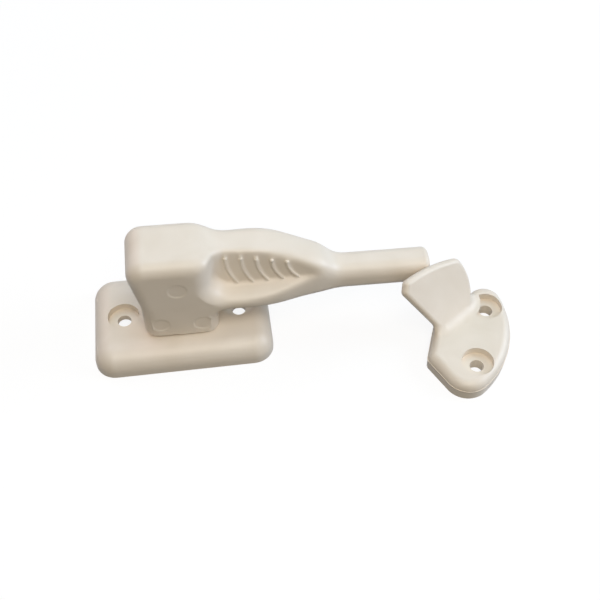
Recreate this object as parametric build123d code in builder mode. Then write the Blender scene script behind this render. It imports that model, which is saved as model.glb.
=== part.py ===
from build123d import *
import math
import os

# Sprung door catch: a swivelling lever on a screw-down base plate, and the separate keeper that it engages.
# The origin is on the swivel axis at the mounting plane, +X runs along the arm, +Z leaves the wall.

# Base plate
plate_length = 61.4
plate_width = 39.4
plate_height = 8.5
plate_corner_radius = 7.2
plate_edge_radius = 6.5
plate_wall = 2.4
plate_skin = 2.6
plate_inner_radius = 3.8
rib_thickness = 1.6
rib_offset = 10.5

# Fixing screw holes, the same in base plate and keeper
screw_spacing = 40.0
screw_hole_diameter = 4.8
screw_head_diameter = 11.0
screw_head_depth = 2.7
screw_seat_thickness = 2.2
screw_boss_wall = 1.8

# Swivel post, and the screw and washer that keep the lever on it
post_diameter = 10.0
post_top = 34.0
post_bore_diameter = 4.5
hub_diameter = 17.0
head_recess_diameter = 10.6
head_recess_depth = 5.0
washer_diameter = 9.6
washer_bore_diameter = 4.5
washer_thickness = 0.8
pivot_screw_diameter = 4.0
pivot_head_diameter = 8.0
pivot_head_height = 2.6
pivot_head_radius = 0.8
drive_slot_length = 4.6
drive_slot_width = 1.0
drive_slot_depth = 1.3
pivot_screw_top = 40.5
pivot_point_chamfer = 1.0
pivot_pilot_diameter = 3.5
pivot_pilot_spare = 0.8
pivot_play = 0.15
bearing_clearance = 0.06
bearing_end_clearance = 0.4

# Torsion spring
wire_diameter = 1.2
coil_radius = 6.7
coil_pitch = 1.9
coil_turns = 6
coil_steps = 12
coil_bottom = 10.6
leg_depth = 3.0
leg_clearance = 0.15
leg_spare = 0.5
pocket_diameter = 15.6
pocket_roof = 26.0

# Travel stop under the neck
swivel_travel = 40.0
stop_angle = 180.0
stop_width = 20.0
stop_inner_radius = 8.9
stop_outer_radius = 10.1
stop_height = 2.2
stop_clearance = 0.3

# Lever, drawn in a frame that droops a little towards the tip
droop = 2.0
neck_bottom = 9.4
neck_left = -12.8
neck_right = 12.3
waist_left = -13.5
waist_height = 21.5
waist_radius = 12.0
brow_left = -16.9
brow_height = 36.0
head_left = -17.1
head_top = 43.4
head_corner_radius = 6.0
head_half_depth = 11.2
head_end = 3.5
grip_start = 12.5
grip_top = 40.7
grip_back = 10.0
shoulder_start = 22.0
shoulder_foot = 49.0
shoulder_foot_top = 33.0
shoulder_foot_half = 6.6
arm_height = 23.7
rod_diameter = 11.0
rod_start = 57.0
tip_end = 85.4
edge_radius = 4.6
arm_pit_radius = 3.0
tip_radius = 2.0
trim_margin = 5.0

# Thumb scoop in the grip; its floor runs out towards the tip
scoop_depth = 2.6
scoop_tilt = 4.9
scoop_left = 11.0
scoop_bottom = 26.0
scoop_corner_radius = 6.2
scoop_middle = 33.0
scoop_middle_rise = 1.6
scoop_end = 56.0
scoop_end_rise = 4.0
scoop_open_top = 46.0
lip_radius = 7.2
lip_stretch = 1.2
scoop_foot = 1.0
lip_start = 1.2
crest_radius = 1.2
ridge_count = 5
ridge_pitch = 5.1
ridge_first = 15.4
ridge_top = 37.7
ridge_drop = 0.15
ridge_foot = 26.2
ridge_rise = 0.6
ridge_sweep = 4.1
ridge_radius = 0.6
mark_depth = 0.25
mark_width = 0.45
low_mark_radius = 2.6
high_mark_radius = 3.3

# Keeper
keeper_x = 102.2
keeper_y = -22.3
keeper_turn = -20.9
keeper_height = 7.0
keeper_edge_radius = 3.2
keeper_hole_spacing = 24.4
keeper_left = -16.7
keeper_left_front = -13.4
keeper_left_back = 3.0
keeper_belly = 9.7
keeper_front = -26.8
keeper_back = 26.0
keeper_corner_radius = 3.0
keeper_front_radius = 8.0
keeper_back_radius = 6.0
keeper_wall = 2.6
keeper_core_depth = 3.4
keeper_boss_wall = 1.5
parting_height = 3.6
parting_width = 0.35
parting_flash = 0.18
fin_turn = 56.7
fin_lean = 31.0
fin_root_x = -13.0
fin_root_y = -2.9
fin_root_start = 0.9
fin_root_end = 12.7
fin_thickness = 3.4
fin_length = 25.0
fin_edge_radius = 1.6
fin_root_depth = 2.0
fin_root_radius = 5.0
fin_left = -9.4
fin_corner_drop = 3.6
fin_corner_step = 2.4
fin_corner_radius = 2.0
fin_bow = 1.5
fin_right = 16.8
fin_right_drop = 5.2
fin_right_radius = 3.0
fin_belly = 18.4

rod_radius = rod_diameter / 2
rod_top = arm_height + rod_radius
rod_bottom = arm_height - rod_radius
seat_level = plate_height - screw_head_depth
trim_left = head_left - trim_margin
trim_right = tip_end + trim_margin
washer_bottom = head_recess_depth - washer_thickness
pivot_seat = washer_bottom - pivot_play
bearing_diameter = post_diameter + 2 * bearing_clearance
leg_hole_diameter = wire_diameter + 2 * leg_clearance
coil_top = coil_bottom + coil_turns * coil_pitch
stop_gap = math.degrees(stop_clearance / stop_outer_radius)
groove_start = stop_angle - stop_width / 2 - swivel_travel - stop_gap
groove_width = stop_width + swivel_travel + 2 * stop_gap

droop_angle = math.radians(droop)
along = Vector(math.cos(droop_angle), 0, -math.sin(droop_angle))
upright = Vector(math.sin(droop_angle), 0, math.cos(droop_angle))
front = Vector(0, -1, 0)
plan_plane = Plane(origin=(0, 0, 0), x_dir=along, z_dir=upright)
back_plane = Plane(origin=(0, 2 * head_half_depth, 0), x_dir=along, z_dir=front)
tilt = math.radians(scoop_tilt)
floor_along = along * math.cos(tilt) + front * math.sin(tilt)
floor_out = front * math.cos(tilt) - along * math.sin(tilt)
floor_plane = Plane(origin=(0, -scoop_depth, 0), x_dir=floor_along, z_dir=floor_out)
scoop_foot_steps = ((0, -scoop_foot), (1.5 * scoop_foot, 0.1 * scoop_foot))
lip_rolls = [math.radians(roll) for roll in (30, 55, 80)]
lip_steps = [(lip_stretch * lip_radius * math.sin(a), lip_radius * (1 - math.cos(a))) for a in lip_rolls]
face_plane = Plane(origin=(0, -head_half_depth, 0), x_dir=along, z_dir=front)

# Base plate: one moulding, hollow below, with screw seats, ribs, the swivel post and the stop lug
with BuildPart() as base_plate:
    with BuildSketch():
        RectangleRounded(plate_length, plate_width, plate_corner_radius)
    extrude(amount=plate_height)
    fillet(base_plate.faces().sort_by(Axis.Z)[-1].edges(), plate_edge_radius)
    with BuildSketch():
        RectangleRounded(
            plate_length - 2 * plate_wall,
            plate_width - 2 * plate_wall,
            plate_corner_radius - plate_wall,
        )
    extrude(amount=plate_height - plate_skin, mode=Mode.SUBTRACT)
    roof = base_plate.faces().filter_by(Axis.Z).group_by(Axis.Z)[-2].sort_by(SortBy.AREA)[-1]
    fillet(roof.edges(), plate_inner_radius)
    # Hub, long ribs and cross ribs reach the wall
    with BuildSketch():
        Circle(hub_diameter / 2)
        with Locations((0, rib_offset), (0, -rib_offset)):
            Rectangle(plate_length - plate_wall, rib_thickness)
        Rectangle(rib_thickness, plate_width - plate_wall)
    extrude(amount=plate_height - plate_skin)
    # Screw seats hang below the skin
    with BuildSketch(Plane.XY.offset(seat_level - screw_seat_thickness)):
        with Locations((-screw_spacing / 2, 0), (screw_spacing / 2, 0)):
            Circle(screw_head_diameter / 2 + screw_boss_wall)
    extrude(until=Until.NEXT)
    # Swivel post
    with BuildSketch(Plane.XY.offset(head_recess_depth)):
        Circle(post_diameter / 2)
    extrude(amount=post_top - head_recess_depth)
    # Stop lug
    with BuildSketch(Plane.XY.offset(plate_height)):
        with BuildLine():
            outer = CenterArc((0, 0), stop_outer_radius, stop_angle - stop_width / 2, stop_width)
            inner = CenterArc((0, 0), stop_inner_radius, stop_angle - stop_width / 2, stop_width)
            Line(outer @ 0, inner @ 0)
            Line(outer @ 1, inner @ 1)
        make_face()
    extrude(amount=stop_height)
    # Counterbored screw holes
    with Locations((-screw_spacing / 2, 0, plate_height), (screw_spacing / 2, 0, plate_height)):
        CounterBoreHole(screw_hole_diameter / 2, screw_head_diameter / 2, screw_head_depth, plate_height)
    # Bore of the post, recess for the screw head, hole for the spring leg
    with BuildSketch():
        Circle(post_bore_diameter / 2)
    extrude(amount=post_top, mode=Mode.SUBTRACT)
    with BuildSketch():
        Circle(head_recess_diameter / 2)
    extrude(amount=head_recess_depth, mode=Mode.SUBTRACT)
    with BuildSketch(Plane.XY.offset(plate_height)):
        with Locations((coil_radius, 0)):
            Circle(leg_hole_diameter / 2)
    extrude(amount=-leg_depth - leg_spare, mode=Mode.SUBTRACT)

# Lever: head, grip and rod in one moulding
with BuildPart() as lever:
    with BuildSketch(back_plane) as side_view:
        with BuildLine():
            Polyline((neck_right, rod_bottom), (neck_right, neck_bottom), (neck_left, neck_bottom))
            Polyline((neck_left, neck_bottom), (waist_left, waist_height), (brow_left, brow_height))
            Polyline((brow_left, brow_height), (head_left, head_top), (head_end, head_top))
            Spline(
                (head_end, head_top),
                (grip_start, grip_top),
                (26.0, 39.9),
                (34.3, 38.5),
                (42.5, 35.8),
                (shoulder_foot, shoulder_foot_top),
                (rod_start, rod_top),
                tangents=[(1, 0), (1, 0)],
            )
            Polyline((rod_start, rod_top), (tip_end, rod_top), (tip_end, rod_bottom))
            Line((tip_end, rod_bottom), (neck_right, rod_bottom))
        make_face()
        fillet(side_view.vertices().sort_by_distance((head_left, head_top))[0], head_corner_radius)
        fillet(side_view.vertices().sort_by_distance((waist_left, waist_height))[0], waist_radius)
        fillet(side_view.vertices().sort_by_distance((brow_left, brow_height))[0], waist_radius)
        fillet(side_view.vertices().sort_by_distance((neck_right, rod_bottom))[0], arm_pit_radius)
    extrude(amount=4 * head_half_depth)
    with BuildSketch(plan_plane):
        with BuildLine():
            Polyline((trim_left, head_half_depth), (trim_left, -head_half_depth), (shoulder_start, -head_half_depth))
            Spline(
                (shoulder_start, -head_half_depth),
                (33.0, -10.2),
                (41.0, -8.2),
                (shoulder_foot, -shoulder_foot_half),
                (rod_start, -rod_radius),
                tangents=[(1, 0), (1, 0)],
            )
            Line((rod_start, -rod_radius), (trim_right, -rod_radius))
            Line((trim_right, -rod_radius), (trim_right, rod_radius))
            Line((trim_right, rod_radius), (rod_start, rod_radius))
            Spline(
                (rod_start, rod_radius),
                (shoulder_foot, shoulder_foot_half),
                (41.0, 7.9),
                (33.0, 9.3),
                (shoulder_start, grip_back),
                (grip_start, grip_back),
                (head_end, head_half_depth),
                tangents=[(-1, 0), (-1, 0)],
            )
            Line((head_end, head_half_depth), (trim_left, head_half_depth))
        make_face()
    extrude(amount=head_top + trim_margin, mode=Mode.INTERSECT)
    outline = (
        lever.edges()
        .filter_by(lambda e: abs(e.center().Y) > rod_radius - 0.5 and e.center().Z > neck_bottom + 1)
        .filter_by(
            lambda e: e.center().X < 0
            or e.center().Z < rod_bottom
            or abs(e.tangent_at(0.5).dot(upright)) < 0.9
        )
    )
    fillet(outline, edge_radius)
    fillet(lever.faces().sort_by(Axis.X)[-1].edges(), tip_radius)
    # Thumb scoop, open above: a hollow foot round the floor, then a lip that rolls over to the front face
    for out, spread in (*scoop_foot_steps, *lip_steps):
        inset = max(-spread, 0)
        widen = max(spread, 0)
        fall = max(out - lip_start, 0)
        left = scoop_left - spread
        low = scoop_bottom - spread
        turn_end = scoop_left + scoop_corner_radius
        turn_start = scoop_bottom + scoop_corner_radius
        middle_height = scoop_bottom + scoop_middle_rise + inset - 0.5 * widen - 0.3 * fall
        end_height = scoop_bottom + scoop_end_rise + inset - 0.6 * fall
        with BuildSketch(floor_plane.offset(out)):
            with BuildLine():
                Line((left, scoop_open_top), (left, turn_start))
                TangentArc((left, turn_start), (turn_end, low), tangent=(0, -1))
                Spline(
                    (turn_end, low),
                    (scoop_middle, middle_height),
                    (scoop_end, end_height),
                    tangents=[(1, 0), (1, 0.15)],
                )
                Polyline((scoop_end, end_height), (scoop_end, scoop_open_top), (left, scoop_open_top))
            make_face()
    loft(mode=Mode.SUBTRACT)
    # Grip ridges on the scoop floor, from below the crest into the lip
    for n in range(ridge_count):
        x = ridge_first + n * ridge_pitch
        top_end = (x, ridge_top - ridge_drop * n * n)
        foot_end = (x + ridge_sweep, ridge_foot + ridge_rise * n)
        with BuildLine(floor_plane) as ridge:
            bend = (x + 0.26 * ridge_sweep, (top_end[1] + foot_end[1]) / 2)
            ThreePointArc(top_end, bend, foot_end)
        with BuildSketch(Plane(origin=ridge.line @ 0, z_dir=ridge.line % 0)):
            Circle(ridge_radius)
        sweep(path=ridge.line)
        with Locations(ridge.line @ 0):
            Sphere(ridge_radius)
    # Rounded crest where the scoop meets the top
    floor_edges = lever.edges().filter_by(
        lambda e: abs(floor_plane.to_local_coords(e @ 0.5).Z) < 0.01
        and abs(floor_plane.to_local_coords(e @ 0.25).Z) < 0.01
        and grip_start < e.center().X < scoop_end
    )
    fillet(floor_edges.sort_by(Axis.Z)[-1], crest_radius)
    # Ejector rings on the front of the neck
    with BuildSketch(face_plane):
        with Locations((-7.2, 15.0)):
            Circle(low_mark_radius)
            Circle(low_mark_radius - mark_width, mode=Mode.SUBTRACT)
        with Locations((6.8, 14.7), (-0.9, 32.2)):
            Circle(high_mark_radius)
            Circle(high_mark_radius - mark_width, mode=Mode.SUBTRACT)
    extrude(amount=-mark_depth, mode=Mode.SUBTRACT)
    # Spring pocket, bearing bore and screw pilot stand square to the plate
    with BuildSketch():
        Circle(pocket_diameter / 2)
    extrude(amount=pocket_roof, mode=Mode.SUBTRACT)
    with BuildSketch():
        Circle(bearing_diameter / 2)
    extrude(amount=post_top + bearing_end_clearance, mode=Mode.SUBTRACT)
    with BuildSketch():
        Circle(pivot_pilot_diameter / 2)
    extrude(amount=pivot_screw_top + pivot_pilot_spare, mode=Mode.SUBTRACT)
    with BuildSketch(Plane.XY.offset(pocket_roof)):
        with Locations((coil_radius, 0)):
            Circle(leg_hole_diameter / 2)
    extrude(amount=leg_depth + leg_spare, mode=Mode.SUBTRACT)
    # Groove that the stop lug runs in
    with BuildSketch():
        with BuildLine():
            groove_outer = CenterArc((0, 0), stop_outer_radius + stop_clearance, groove_start, groove_width)
            groove_inner = CenterArc((0, 0), stop_inner_radius - stop_clearance, groove_start, groove_width)
            Line(groove_outer @ 0, groove_inner @ 0)
            Line(groove_outer @ 1, groove_inner @ 1)
        make_face()
    extrude(amount=plate_height + stop_height + stop_clearance, mode=Mode.SUBTRACT)

# Torsion spring round the post, one leg in the plate and one in the lever
with BuildPart() as torsion_spring:
    with BuildLine() as wire_path:
        turns = [n / coil_steps for n in range(1, coil_turns * coil_steps)]
        coil_points = [
            (
                coil_radius * math.cos(2 * math.pi * t),
                coil_radius * math.sin(2 * math.pi * t),
                coil_bottom + t * coil_pitch,
            )
            for t in turns
        ]
        Spline(
            (coil_radius, 0, plate_height - leg_depth),
            (coil_radius, 0, plate_height - leg_depth / 2),
            (coil_radius, 0, plate_height),
            *coil_points,
            (coil_radius, 0, coil_top + wire_diameter),
            (coil_radius, 0, pocket_roof),
            (coil_radius, 0, pocket_roof + leg_depth / 2),
            (coil_radius, 0, pocket_roof + leg_depth),
            tangents=[(0, 0, 1), (0, 0, 1)],
        )
    with BuildSketch(Plane(origin=wire_path.line @ 0, z_dir=wire_path.line % 0)):
        Circle(wire_diameter / 2)
    sweep(path=wire_path.line)

# Pivot screw, driven from below through the post into the head of the lever
with BuildPart() as pivot_screw:
    with BuildSketch(Plane.XY.offset(pivot_seat)):
        Circle(pivot_head_diameter / 2)
    extrude(amount=-pivot_head_height)
    fillet(pivot_screw.edges().sort_by(Axis.Z)[0], pivot_head_radius)
    with BuildSketch(Plane.XY.offset(pivot_seat)):
        Circle(pivot_screw_diameter / 2)
    extrude(amount=pivot_screw_top - pivot_seat)
    chamfer(pivot_screw.edges().sort_by(Axis.Z)[-1], pivot_point_chamfer)
    with BuildSketch(Plane.XY.offset(pivot_seat - pivot_head_height)):
        Rectangle(drive_slot_length, drive_slot_width)
        Rectangle(drive_slot_width, drive_slot_length)
    extrude(amount=drive_slot_depth, mode=Mode.SUBTRACT)

# Washer between the screw head and the plate
with BuildPart() as washer:
    with BuildSketch(Plane.XY.offset(washer_bottom)):
        Circle(washer_diameter / 2)
        Circle(washer_bore_diameter / 2, mode=Mode.SUBTRACT)
    extrude(amount=washer_thickness)

# Keeper fin, a thick leaf with rounded edges that leans back from the keeper plate
keeper_angle = math.radians(keeper_turn)
keeper_plane = Plane(
    origin=(keeper_x, keeper_y, 0),
    x_dir=(math.cos(keeper_angle), math.sin(keeper_angle), 0),
    z_dir=(0, 0, 1),
)
fold_angle = math.radians(keeper_turn + fin_turn)
lean_angle = math.radians(fin_lean)
fold_line = Vector(math.cos(fold_angle), math.sin(fold_angle), 0)
lean_line = Vector(-math.sin(fold_angle), math.cos(fold_angle), 0)
fin_plane = Plane(
    origin=keeper_plane.from_local_coords((fin_root_x, fin_root_y, keeper_height)),
    x_dir=fold_line,
    z_dir=Vector(0, 0, math.sin(lean_angle)) - lean_line * math.cos(lean_angle),
)
fin_corner = (fin_left, fin_length - fin_corner_drop)
fin_top_left = (fin_left + fin_corner_step, fin_length)
fin_top_middle = ((fin_left + fin_right) / 2, fin_length - fin_right_drop / 2 + fin_bow)
fin_top_right = (fin_right, fin_length - fin_right_drop)
with BuildPart() as fin:
    with BuildSketch(fin_plane) as fin_outline:
        with BuildLine():
            Polyline((fin_root_end, -fin_root_depth), (fin_root_start, -fin_root_depth), fin_corner, fin_top_left)
            ThreePointArc(fin_top_left, fin_top_middle, fin_top_right)
            ThreePointArc(fin_top_right, (fin_belly, fin_length / 3), (fin_root_end, -fin_root_depth))
        make_face()
        fillet(fin_outline.vertices().sort_by_distance(fin_corner)[0], fin_corner_radius)
        fillet(fin_outline.vertices().sort_by_distance(fin_top_left)[0], fin_corner_radius)
        fillet(fin_outline.vertices().sort_by_distance(fin_top_right)[0], fin_right_radius)
    extrude(amount=-fin_thickness)
    rims = fin.edges().filter_by(lambda e: e.tangent_at(0.5).cross(fin_plane.z_dir).length > 0.9)
    above_root = rims.filter_by(lambda e: fin_plane.to_local_coords(e.center()).Y > 0.5 - fin_root_depth)
    fillet(above_root, fin_edge_radius)

# Keeper: plate with a bowed side and two counterbored holes, in one moulding with its fin
with BuildPart() as keeper:
    with BuildSketch(keeper_plane) as keeper_outline:
        with BuildLine():
            bow = ThreePointArc((-2.0, keeper_front), (keeper_belly, 0.5), (-1.5, keeper_back))
            Polyline(bow @ 1, (-8.6, 14.5), (keeper_left, keeper_left_back))
            Polyline((keeper_left, keeper_left_back), (keeper_left, keeper_left_front), bow @ 0)
        make_face()
        fillet(keeper_outline.vertices().sort_by_distance(bow @ 0)[0], keeper_front_radius)
        fillet(keeper_outline.vertices().sort_by_distance(bow @ 1)[0], keeper_back_radius)
        fillet(keeper_outline.vertices().group_by(Axis.X)[0], keeper_corner_radius)
    extrude(amount=keeper_height)
    fillet(keeper.faces().sort_by(Axis.Z)[-1].edges(), keeper_edge_radius)
    add(fin.part)
    at_top = keeper.edges().filter_by(lambda e: abs(e.center().Z - keeper_height) < 0.02)
    fold = at_top.filter_by(lambda e: abs(fin_plane.to_local_coords(e.center()).Z) < 0.5)
    fillet(fold, fin_root_radius)
    # Parting line of the mould round the rim
    with BuildSketch(keeper_plane.offset(parting_height)):
        add(keeper_outline.sketch_local)
        offset(amount=parting_flash, mode=Mode.REPLACE)
    extrude(amount=parting_width)
    # Hollow underside round two solid screw seats
    with BuildSketch(keeper_plane):
        add(keeper_outline.sketch_local)
        offset(amount=-keeper_wall, mode=Mode.REPLACE)
        with Locations((0, -keeper_hole_spacing / 2), (0, keeper_hole_spacing / 2)):
            Circle(screw_head_diameter / 2 + keeper_boss_wall, mode=Mode.SUBTRACT)
    extrude(amount=keeper_core_depth, mode=Mode.SUBTRACT)
    # Counterbored screw holes
    with BuildSketch(keeper_plane):
        with Locations((0, -keeper_hole_spacing / 2), (0, keeper_hole_spacing / 2)):
            Circle(screw_hole_diameter / 2)
    extrude(amount=keeper_height, mode=Mode.SUBTRACT)
    with BuildSketch(keeper_plane.offset(keeper_height)):
        with Locations((0, -keeper_hole_spacing / 2), (0, keeper_hole_spacing / 2)):
            Circle(screw_head_diameter / 2)
    extrude(amount=-screw_head_depth, mode=Mode.SUBTRACT)

os.makedirs("parts", exist_ok=True)
base_plate.part.label = "base_plate"
export_step(base_plate.part, "parts/base_plate.step")
lever.part.label = "lever"
export_step(lever.part, "parts/lever.step")
torsion_spring.part.label = "torsion_spring"
export_step(torsion_spring.part, "parts/torsion_spring.step")
pivot_screw.part.label = "pivot_screw"
export_step(pivot_screw.part, "parts/pivot_screw.step")
washer.part.label = "washer"
export_step(washer.part, "parts/washer.step")
keeper.part.label = "keeper"
export_step(keeper.part, "parts/keeper.step")
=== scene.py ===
import math

import bpy
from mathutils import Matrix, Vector
from mathutils.geometry import intersect_point_line


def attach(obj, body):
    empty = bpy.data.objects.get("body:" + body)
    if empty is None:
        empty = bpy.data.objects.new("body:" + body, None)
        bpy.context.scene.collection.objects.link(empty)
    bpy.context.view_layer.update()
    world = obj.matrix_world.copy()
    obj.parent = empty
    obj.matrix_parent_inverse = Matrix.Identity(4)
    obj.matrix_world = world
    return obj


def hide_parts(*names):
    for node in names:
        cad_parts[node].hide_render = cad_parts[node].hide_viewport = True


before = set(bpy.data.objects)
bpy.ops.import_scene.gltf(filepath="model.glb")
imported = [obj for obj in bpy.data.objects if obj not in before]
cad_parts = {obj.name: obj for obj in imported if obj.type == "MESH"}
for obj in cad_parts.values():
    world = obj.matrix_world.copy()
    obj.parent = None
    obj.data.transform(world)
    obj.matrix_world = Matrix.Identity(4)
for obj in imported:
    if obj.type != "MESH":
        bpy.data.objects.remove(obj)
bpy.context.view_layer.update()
bpy.ops.object.select_all(action="DESELECT")

# Base plate and keeper. Two separate mouldings in ivory ABS, shot in steel moulds with a fine satin texture.
# The plate is screwed to the wall and carries the lever, and the keeper is screwed to the door.
IVORY_LIGHT = "#EBE2D5"
IVORY_DEEP = "#E4DACB"
IVORY_IOR = 1.53
IVORY_ROUGHNESS = 0.42
ROUGHNESS_SPREAD = 0.05
FLOW_MARK_MM = 14.0
FLOW_DEEP_BELOW = 0.3
FLOW_LIGHT_ABOVE = 0.7
SATIN_PATCH_MM = 3.0
GRAIN_MM = 0.45
GRAIN_HEIGHT_MM = 0.006


def linear(hex_colour):
    """The linear colour of an sRGB hex value, with full alpha."""
    channels = [int(hex_colour[start:start + 2], 16) / 255 for start in (1, 3, 5)]
    return [c / 12.92 if c <= 0.04045 else ((c + 0.055) / 1.055) ** 2.4 for c in channels] + [1.0]


def add_node(tree, kind, inputs=None, **settings):
    """A new node with its settings; an input takes a value, or a socket to link."""
    made = tree.nodes.new(kind)
    for name, value in settings.items():
        setattr(made, name, value)
    for name, value in (inputs or {}).items():
        if isinstance(value, bpy.types.NodeSocket):
            tree.links.new(value, made.inputs[name])
        else:
            made.inputs[name].default_value = value
    return made


def per_metre(size_mm):
    """The texture scale that gives features of this size."""
    return 1000.0 / size_mm


# Moulded ABS: an opaque cream body with broad faint flow marks, a satin skin and a very fine grain. The grain
# is drawn coarser than the real spark texture, which is too fine to show.
ivory = bpy.data.materials.new("moulded_ivory_abs")
ivory.use_nodes = True
tree = ivory.node_tree
shader = tree.nodes["Principled BSDF"]
place = add_node(tree, "ShaderNodeTexCoord").outputs["Object"]
flow = add_node(tree, "ShaderNodeTexNoise", {
    "Vector": place, "Scale": per_metre(FLOW_MARK_MM), "Detail": 3.0, "Roughness": 0.45, "Distortion": 0.6,
})
tint = add_node(tree, "ShaderNodeValToRGB", {"Fac": flow.outputs["Fac"]})
tint.color_ramp.elements[0].position = FLOW_DEEP_BELOW
tint.color_ramp.elements[0].color = linear(IVORY_DEEP)
tint.color_ramp.elements[1].position = FLOW_LIGHT_ABOVE
tint.color_ramp.elements[1].color = linear(IVORY_LIGHT)
satin = add_node(tree, "ShaderNodeTexNoise", {
    "Vector": place, "Scale": per_metre(SATIN_PATCH_MM), "Detail": 4.0,
})
gloss = add_node(tree, "ShaderNodeMapRange", {
    "Value": satin.outputs["Fac"], "From Min": 0.25, "From Max": 0.75,
    "To Min": IVORY_ROUGHNESS - ROUGHNESS_SPREAD, "To Max": IVORY_ROUGHNESS + ROUGHNESS_SPREAD,
})
grain = add_node(tree, "ShaderNodeTexNoise", {
    "Vector": place, "Scale": per_metre(GRAIN_MM), "Detail": 2.0,
})
bump = add_node(tree, "ShaderNodeBump", {
    "Height": grain.outputs["Fac"], "Strength": 1.0, "Distance": GRAIN_HEIGHT_MM / 1000,
})
shader.inputs["IOR"].default_value = IVORY_IOR
tree.links.new(tint.outputs["Color"], shader.inputs["Base Color"])
tree.links.new(gloss.outputs["Result"], shader.inputs["Roughness"])
tree.links.new(bump.outputs["Normal"], shader.inputs["Normal"])

for name in ("base_plate", "keeper"):
    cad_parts[name].data.materials.clear()
    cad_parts[name].data.materials.append(ivory)

# Lever. One moulding of the same ivory ABS, with head, neck, grip and rod, that swivels on the plate's post.
# Its skin is the solid's surface in small even faces, softened at the thumb scoop's rim, lip and shoulder.
# The scoop's floor leans back, and the neck has the three shallow round marks that ejector pins leave.
FINE_MESH_MM = 0.35
MERGE_WITHIN = 1e-6
LEVER_DROOP = math.radians(2.0)

SCOOP_RIM_MM = (
    (6.6, -11.2, 31.0), (6.7, -11.2, 38.4), (9.4, -9.9, 40.8), (11.6, -6.4, 41.3), (13.0, -3.6, 40.8),
    (15.2, -1.7, 40.2), (26.7, -1.6, 39.1), (39.0, -3.0, 36.1), (44.5, -4.7, 33.3), (49.0, -6.2, 29.0),
)
RIM_EASE_MM = 3.4
RIM_PASSES = 107
LIP_EDGE_MM = (
    (15.4, -11.2, 22.2), (22.8, -11.2, 22.7), (35.5, -9.8, 23.0), (47.8, -7.1, 25.7), (53.0, -6.2, 24.6),
)
LIP_EASE_MM = 5.0
LIP_PASSES = 151
SHOULDER_MM = ((38.0, 1.5, 38.0), (44.0, 1.5, 36.0), (50.0, 1.0, 33.0))
SHOULDER_EASE_MM = 9.0
SHOULDER_PASSES = 373
SMOOTH_FACTOR = 0.5

FLOOR_TILT = math.radians(4.9)
FLOOR_DEPTH_MM = 2.6
FLOOR_LEAN_MM = 1.8
LEAN_FOOT_MM = 27.0
LEAN_HEIGHT_MM = 11.5
LEAN_LEFT_MM = 11.5
LEAN_LEFT_FADE_MM = 4.0
LEAN_RIGHT_MM = 50.0
LEAN_RIGHT_FADE_MM = 12.0
LEAN_BACK_FADE_MM = 9.0
LEAN_FRONT_FADE_MM = 4.0

NECK_FRONT_MM = -11.2
MARK_EDGE_MM = 0.5
MARK_DEPTH_MM = 0.22
PIN_MARKS_MM = ((-6.8, 15.4, 3.1), (7.3, 14.5, 3.3), (0.2, 32.2, 3.3))

lever_along = Vector((math.cos(LEVER_DROOP), 0, -math.sin(LEVER_DROOP)))
lever_up = Vector((math.sin(LEVER_DROOP), 0, math.cos(LEVER_DROOP)))
lever_front = Vector((0, -1, 0))
floor_along = lever_along * math.cos(FLOOR_TILT) + lever_front * math.sin(FLOOR_TILT)
floor_out = lever_front * math.cos(FLOOR_TILT) - lever_along * math.sin(FLOOR_TILT)


def clamped(share):
    """A share held between 0 and 1."""
    return max(0.0, min(1.0, share))


def eased(share):
    """0 to 1 with a soft start and end."""
    share = clamped(share)
    return share * share * (3 - 2 * share)


def lean_back(place_mm):
    """How far the scoop's floor leans back from upright at a point, in millimetres."""
    along = place_mm.dot(floor_along)
    up = place_mm.dot(lever_up)
    out = (place_mm - lever_front * FLOOR_DEPTH_MM).dot(floor_out)
    rise = clamped((up - LEAN_FOOT_MM) / LEAN_HEIGHT_MM)
    left = eased((along - LEAN_LEFT_MM) / LEAN_LEFT_FADE_MM)
    right = eased((LEAN_RIGHT_MM - along) / LEAN_RIGHT_FADE_MM)
    depth = eased(1 + out / LEAN_BACK_FADE_MM) if out < 0 else eased(1 - out / LEAN_FRONT_FADE_MM)
    return FLOOR_LEAN_MM * rise * (left * right) * depth


def fine_copy(node_name, piece_name):
    """A copy of a node, merged and remeshed to even small faces."""
    piece = bpy.data.objects.new(piece_name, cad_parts[node_name].data.copy())
    bpy.context.scene.collection.objects.link(piece)
    bpy.ops.object.select_all(action="DESELECT")
    piece.select_set(True)
    bpy.context.view_layer.objects.active = piece
    bpy.ops.object.mode_set(mode="EDIT")
    bpy.ops.mesh.select_all(action="SELECT")
    bpy.ops.mesh.remove_doubles(threshold=MERGE_WITHIN)
    bpy.ops.object.mode_set(mode="OBJECT")
    remesh = piece.modifiers.new("even_faces", "REMESH")
    remesh.mode = "VOXEL"
    remesh.voxel_size = FINE_MESH_MM / 1000
    remesh.use_smooth_shade = True
    bpy.ops.object.modifier_apply(modifier=remesh.name)
    return piece


def near_line(piece, line_mm, reach_mm):
    """The vertices within reach of a line, each with a weight that fades from 1 on the line to 0."""
    line = [Vector(point) / 1000 for point in line_mm]
    reach = reach_mm / 1000
    found = []
    for vertex in piece.data.vertices:
        gap = reach
        for start, end in zip(line, line[1:]):
            share = clamped(intersect_point_line(vertex.co, start, end)[1])
            gap = min(gap, (vertex.co - start.lerp(end, share)).length)
        if gap < reach:
            found.append((vertex, eased(1 - gap / reach)))
    return found


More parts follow.
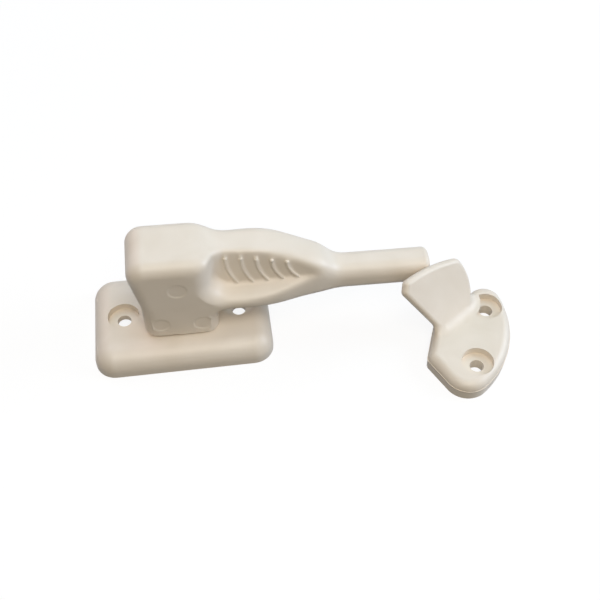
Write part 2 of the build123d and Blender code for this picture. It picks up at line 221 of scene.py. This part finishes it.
def ease_edge(piece, line_mm, reach_mm, passes):
    """Rounds the surface near a line."""
    near = piece.vertex_groups.new(name="eased_edge")
    for vertex, weight in near_line(piece, line_mm, reach_mm):
        near.add([vertex.index], weight, "REPLACE")
    smooth = piece.modifiers.new("eased_edge", "SMOOTH")
    smooth.factor = SMOOTH_FACTOR
    smooth.iterations = passes
    smooth.vertex_group = near.name
    bpy.ops.object.modifier_apply(modifier=smooth.name)
    piece.vertex_groups.clear()


def press_mark(piece, x_mm, z_mm, radius_mm):
    """A shallow round recess in the flat front of the neck."""
    for vertex in piece.data.vertices:
        place = vertex.co * 1000
        off_centre = math.hypot(place.x - x_mm, place.z - z_mm)
        if abs(place.y - NECK_FRONT_MM) < 2 * MARK_DEPTH_MM and off_centre < radius_mm + MARK_EDGE_MM:
            wall = clamped((radius_mm - off_centre) / MARK_EDGE_MM)
            vertex.co.y = (NECK_FRONT_MM + MARK_DEPTH_MM * wall) / 1000


lever_skin = fine_copy("lever", "lever_skin")
for vertex in lever_skin.data.vertices:
    vertex.co.y += lean_back(vertex.co * 1000) / 1000
ease_edge(lever_skin, SHOULDER_MM, SHOULDER_EASE_MM, SHOULDER_PASSES)
ease_edge(lever_skin, LIP_EDGE_MM, LIP_EASE_MM, LIP_PASSES)
ease_edge(lever_skin, SCOOP_RIM_MM, RIM_EASE_MM, RIM_PASSES)
for mark in PIN_MARKS_MM:
    press_mark(lever_skin, *mark)

# Grip ridges. Five slim curved ribs stand on the floor of the thumb scoop, each with a round knob at its
# upper end. They come out of the same mould as the lever, so they join its skin.
RIDGE_COUNT = 5
RIDGE_PITCH_MM = 5.1
RIDGE_FIRST_MM = 15.4
RIDGE_TOP_MM = 36.8
RIDGE_TOP_DROP_MM = 0.10
RIDGE_FOOT_MM = 26.4
RIDGE_FOOT_RISE_MM = 0.6
RIDGE_SWEEP_MM = 4.1
RIDGE_BOW = 0.26
RIDGE_RADIUS_MM = 0.52
RIDGE_RAISED_MM = 0.15
RIDGE_ROUNDNESS = 4
RIDGE_STEPS = 16
KNOB_RADIUS_MM = 0.80
KNOB_SEGMENTS = 20
KNOB_RINGS = 12


def on_floor(along_mm, up_mm):
    """A point a little proud of the scoop's floor, in metres."""
    place = lever_front * FLOOR_DEPTH_MM + floor_along * along_mm + lever_up * up_mm
    return (place - lever_front * lean_back(place) + floor_out * RIDGE_RAISED_MM) / 1000


def add_ridge(knob, bend, foot):
    """A round rib from its knob to its foot, drawn towards the bend point."""
    curve = bpy.data.curves.new("ridge", "CURVE")
    curve.dimensions = "3D"
    curve.bevel_depth = RIDGE_RADIUS_MM / 1000
    curve.bevel_resolution = RIDGE_ROUNDNESS
    curve.use_fill_caps = True
    line = curve.splines.new("NURBS")
    line.points.add(2)
    for point, place in zip(line.points, (knob, bend, foot)):
        point.co = (*place, 1.0)
    line.order_u = 3
    line.use_endpoint_u = True
    line.resolution_u = RIDGE_STEPS
    ridge = bpy.data.objects.new("ridge", curve)
    bpy.context.scene.collection.objects.link(ridge)
    bpy.ops.object.select_all(action="DESELECT")
    ridge.select_set(True)
    bpy.context.view_layer.objects.active = ridge
    bpy.ops.object.convert(target="MESH")
    return bpy.context.object


def add_knob(centre):
    """The round end of a ridge."""
    bpy.ops.mesh.primitive_uv_sphere_add(
        segments=KNOB_SEGMENTS, ring_count=KNOB_RINGS, radius=KNOB_RADIUS_MM / 1000, location=centre,
    )
    bpy.ops.object.transform_apply(location=True, rotation=True, scale=True)
    return bpy.context.object


# Half way down, a ridge has moved along by RIDGE_BOW of its sweep, which sets the place of its bend point.
bend_along_mm = (2 * RIDGE_BOW - 0.5) * RIDGE_SWEEP_MM
ridge_pieces = []
for n in range(RIDGE_COUNT):
    top_along = RIDGE_FIRST_MM + n * RIDGE_PITCH_MM
    top_up = RIDGE_TOP_MM - RIDGE_TOP_DROP_MM * n * n
    foot_up = RIDGE_FOOT_MM + RIDGE_FOOT_RISE_MM * n
    knob = on_floor(top_along, top_up)
    bend = on_floor(top_along + bend_along_mm, (top_up + foot_up) / 2)
    foot = on_floor(top_along + RIDGE_SWEEP_MM, foot_up)
    ridge_pieces.append(add_ridge(knob, bend, foot))
    ridge_pieces.append(add_knob(knob))

bpy.ops.object.select_all(action="DESELECT")
for piece in (*ridge_pieces, lever_skin):
    piece.data.materials.clear()
    piece.data.materials.append(ivory)
    piece.select_set(True)
bpy.context.view_layer.objects.active = lever_skin
bpy.ops.object.join()
bpy.ops.object.shade_smooth()
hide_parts("lever")
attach(lever_skin, "swivel_lever")

# Torsion spring. A coil of hard-drawn steel wire round the swivel post, with one leg hooked into the plate
# and one into the lever. It presses the lever back against its stop.
SPRING_GREY = "#8F9296"
SPRING_ROUGHNESS = 0.28
SPRING_SPREAD = 0.08
DRAW_LINE_MM = 0.3

# Drawn steel wire: a grey metal whose gloss varies in fine flecks left by the drawing die.
spring_wire = bpy.data.materials.new("drawn_spring_steel")
spring_wire.use_nodes = True
tree = spring_wire.node_tree
shader = tree.nodes["Principled BSDF"]
place = add_node(tree, "ShaderNodeTexCoord").outputs["Object"]
flecks = add_node(tree, "ShaderNodeTexNoise", {
    "Vector": place, "Scale": per_metre(DRAW_LINE_MM), "Detail": 2.0,
})
polish = add_node(tree, "ShaderNodeMapRange", {
    "Value": flecks.outputs["Fac"],
    "To Min": SPRING_ROUGHNESS - SPRING_SPREAD, "To Max": SPRING_ROUGHNESS + SPRING_SPREAD,
})
shader.inputs["Base Color"].default_value = linear(SPRING_GREY)
shader.inputs["Metallic"].default_value = 1.0
tree.links.new(polish.outputs["Result"], shader.inputs["Roughness"])
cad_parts["torsion_spring"].data.materials.clear()
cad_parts["torsion_spring"].data.materials.append(spring_wire)

# Pivot screw and washer. A turned steel screw and a stamped steel washer, both zinc plated. The screw comes
# up through the post from below and holds the lever on. The wall hides them both.
ZINC_PALE = "#C9CCCF"
ZINC_DULL = "#AEB2B6"
ZINC_ROUGHNESS = 0.33
SPANGLE_MM = 1.2
SPANGLE_DULL_BELOW = 0.35
SPANGLE_PALE_ABOVE = 0.65

# Zinc plating: a pale grey metal, clouded with duller patches about a millimetre across.
zinc = bpy.data.materials.new("zinc_plated_steel")
zinc.use_nodes = True
tree = zinc.node_tree
shader = tree.nodes["Principled BSDF"]
place = add_node(tree, "ShaderNodeTexCoord").outputs["Object"]
spangle = add_node(tree, "ShaderNodeTexNoise", {
    "Vector": place, "Scale": per_metre(SPANGLE_MM), "Detail": 3.0,
})
plating = add_node(tree, "ShaderNodeValToRGB", {"Fac": spangle.outputs["Fac"]})
plating.color_ramp.elements[0].position = SPANGLE_DULL_BELOW
plating.color_ramp.elements[0].color = linear(ZINC_DULL)
plating.color_ramp.elements[1].position = SPANGLE_PALE_ABOVE
plating.color_ramp.elements[1].color = linear(ZINC_PALE)
shader.inputs["Metallic"].default_value = 1.0
shader.inputs["Roughness"].default_value = ZINC_ROUGHNESS
tree.links.new(plating.outputs["Color"], shader.inputs["Base Color"])
for name in ("pivot_screw", "washer"):
    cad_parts[name].data.materials.clear()
    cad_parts[name].data.materials.append(zinc)

# Floor and surroundings. A white sheet that shows white to the camera and in reflections, and that still
# takes the object's shadow; the light that it throws back on the catch is warm and dim.
FLOOR_SIZE = 6.0
FLOOR_BOUNCE = "#595548"
FLOOR_SHOWN = "#666666"
FLOOR_GLOW = 0.89
SKY_WHITE = "#FFFFFF"
SKY_LEVEL = 0.10


def seen_directly(tree):
    """1 for rays from the camera and for mirrored or refracted rays, else 0."""
    path = add_node(tree, "ShaderNodeLightPath").outputs
    either = add_node(tree, "ShaderNodeMath", operation="MAXIMUM")
    tree.links.new(path["Is Camera Ray"], either.inputs[0])
    tree.links.new(path["Is Glossy Ray"], either.inputs[1])
    any_of = add_node(tree, "ShaderNodeMath", operation="MAXIMUM")
    tree.links.new(either.outputs[0], any_of.inputs[0])
    tree.links.new(path["Is Transmission Ray"], any_of.inputs[1])
    return any_of.outputs[0]


bpy.ops.mesh.primitive_plane_add(size=FLOOR_SIZE)
floor = bpy.context.object
floor.name = "floor"
paper = bpy.data.materials.new("white_sheet")
paper.use_nodes = True
tree = paper.node_tree
tree.nodes.remove(tree.nodes["Principled BSDF"])
seen = seen_directly(tree)
albedo = add_node(tree, "ShaderNodeValToRGB", {"Fac": seen})
albedo.color_ramp.elements[0].color = linear(FLOOR_BOUNCE)
albedo.color_ramp.elements[1].color = linear(FLOOR_SHOWN)
matt = add_node(tree, "ShaderNodeBsdfDiffuse", {"Color": albedo.outputs["Color"]})
lift = add_node(tree, "ShaderNodeMapRange", {"Value": seen, "To Min": 0.0, "To Max": FLOOR_GLOW})
glow = add_node(tree, "ShaderNodeEmission", {"Strength": lift.outputs["Result"]})
both = add_node(tree, "ShaderNodeAddShader")
tree.links.new(matt.outputs["BSDF"], both.inputs[0])
tree.links.new(glow.outputs["Emission"], both.inputs[1])
tree.links.new(both.outputs["Shader"], tree.nodes["Material Output"].inputs["Surface"])
floor.data.materials.append(paper)

world = bpy.data.worlds.new("studio")
bpy.context.scene.world = world
world.use_nodes = True
tree = world.node_tree
seen = seen_directly(tree)
level = add_node(tree, "ShaderNodeMapRange", {"Value": seen, "To Min": SKY_LEVEL, "To Max": 1.0})
tree.nodes["Background"].inputs["Color"].default_value = linear(SKY_WHITE)
tree.links.new(level.outputs["Result"], tree.nodes["Background"].inputs["Strength"])

# Studio light. Four soft boxes stand round the catch at one distance: warm light from the front, cooler light
# from the right and from behind, and a weak one at the back left.
SOFT_BOX_REACH = 0.70
SOFT_BOX_SIZE = 0.50
OBJECT_MIDDLE = Vector((0.045, -0.005, 0.015))


def add_soft_box(name, azimuth, elevation, power, tint):
    """A round soft box that faces the catch; azimuth runs from +X towards +Y."""
    around = math.radians(azimuth)
    up = math.radians(elevation)
    towards = Vector((math.cos(up) * math.cos(around), math.cos(up) * math.sin(around), math.sin(up)))
    light = bpy.data.lights.new(name, "AREA")
    light.shape = "DISK"
    light.size = SOFT_BOX_SIZE
    light.energy = power
    light.color = linear(tint)[:3]
    lamp = bpy.data.objects.new(name, light)
    lamp.location = OBJECT_MIDDLE + SOFT_BOX_REACH * towards
    lamp.rotation_euler = (-towards).to_track_quat("-Z", "Y").to_euler()
    bpy.context.scene.collection.objects.link(lamp)


add_soft_box("front_box", azimuth=270, elevation=60, power=2.69, tint="#FFF3E1")
add_soft_box("right_box", azimuth=0, elevation=25, power=3.26, tint="#DDEBFF")
add_soft_box("back_box", azimuth=90, elevation=60, power=1.05, tint="#C5EDFF")
add_soft_box("left_box", azimuth=135, elevation=35, power=1.02, tint="#FFEAF2")

# Camera. It looks down at the catch from in front and a little from its left, as the photograph does, through
# a lens of moderate length.
CAMERA_PLACE = Vector((0.01279, -0.22035, 0.28486))
CAMERA_AIM = Vector((0.04257, 0.00592, 0.0))
CAMERA_LENS_MM = 60.4
SENSOR_WIDTH_MM = 36.0

camera = bpy.data.cameras.new("camera")
camera.lens = CAMERA_LENS_MM
camera.sensor_width = SENSOR_WIDTH_MM
viewer = bpy.data.objects.new("camera", camera)
viewer.location = CAMERA_PLACE
viewer.rotation_euler = (CAMERA_AIM - CAMERA_PLACE).to_track_quat("-Z", "Y").to_euler()
bpy.context.scene.collection.objects.link(viewer)
bpy.context.scene.camera = viewer
bpy.context.scene.view_settings.view_transform = "Standard"
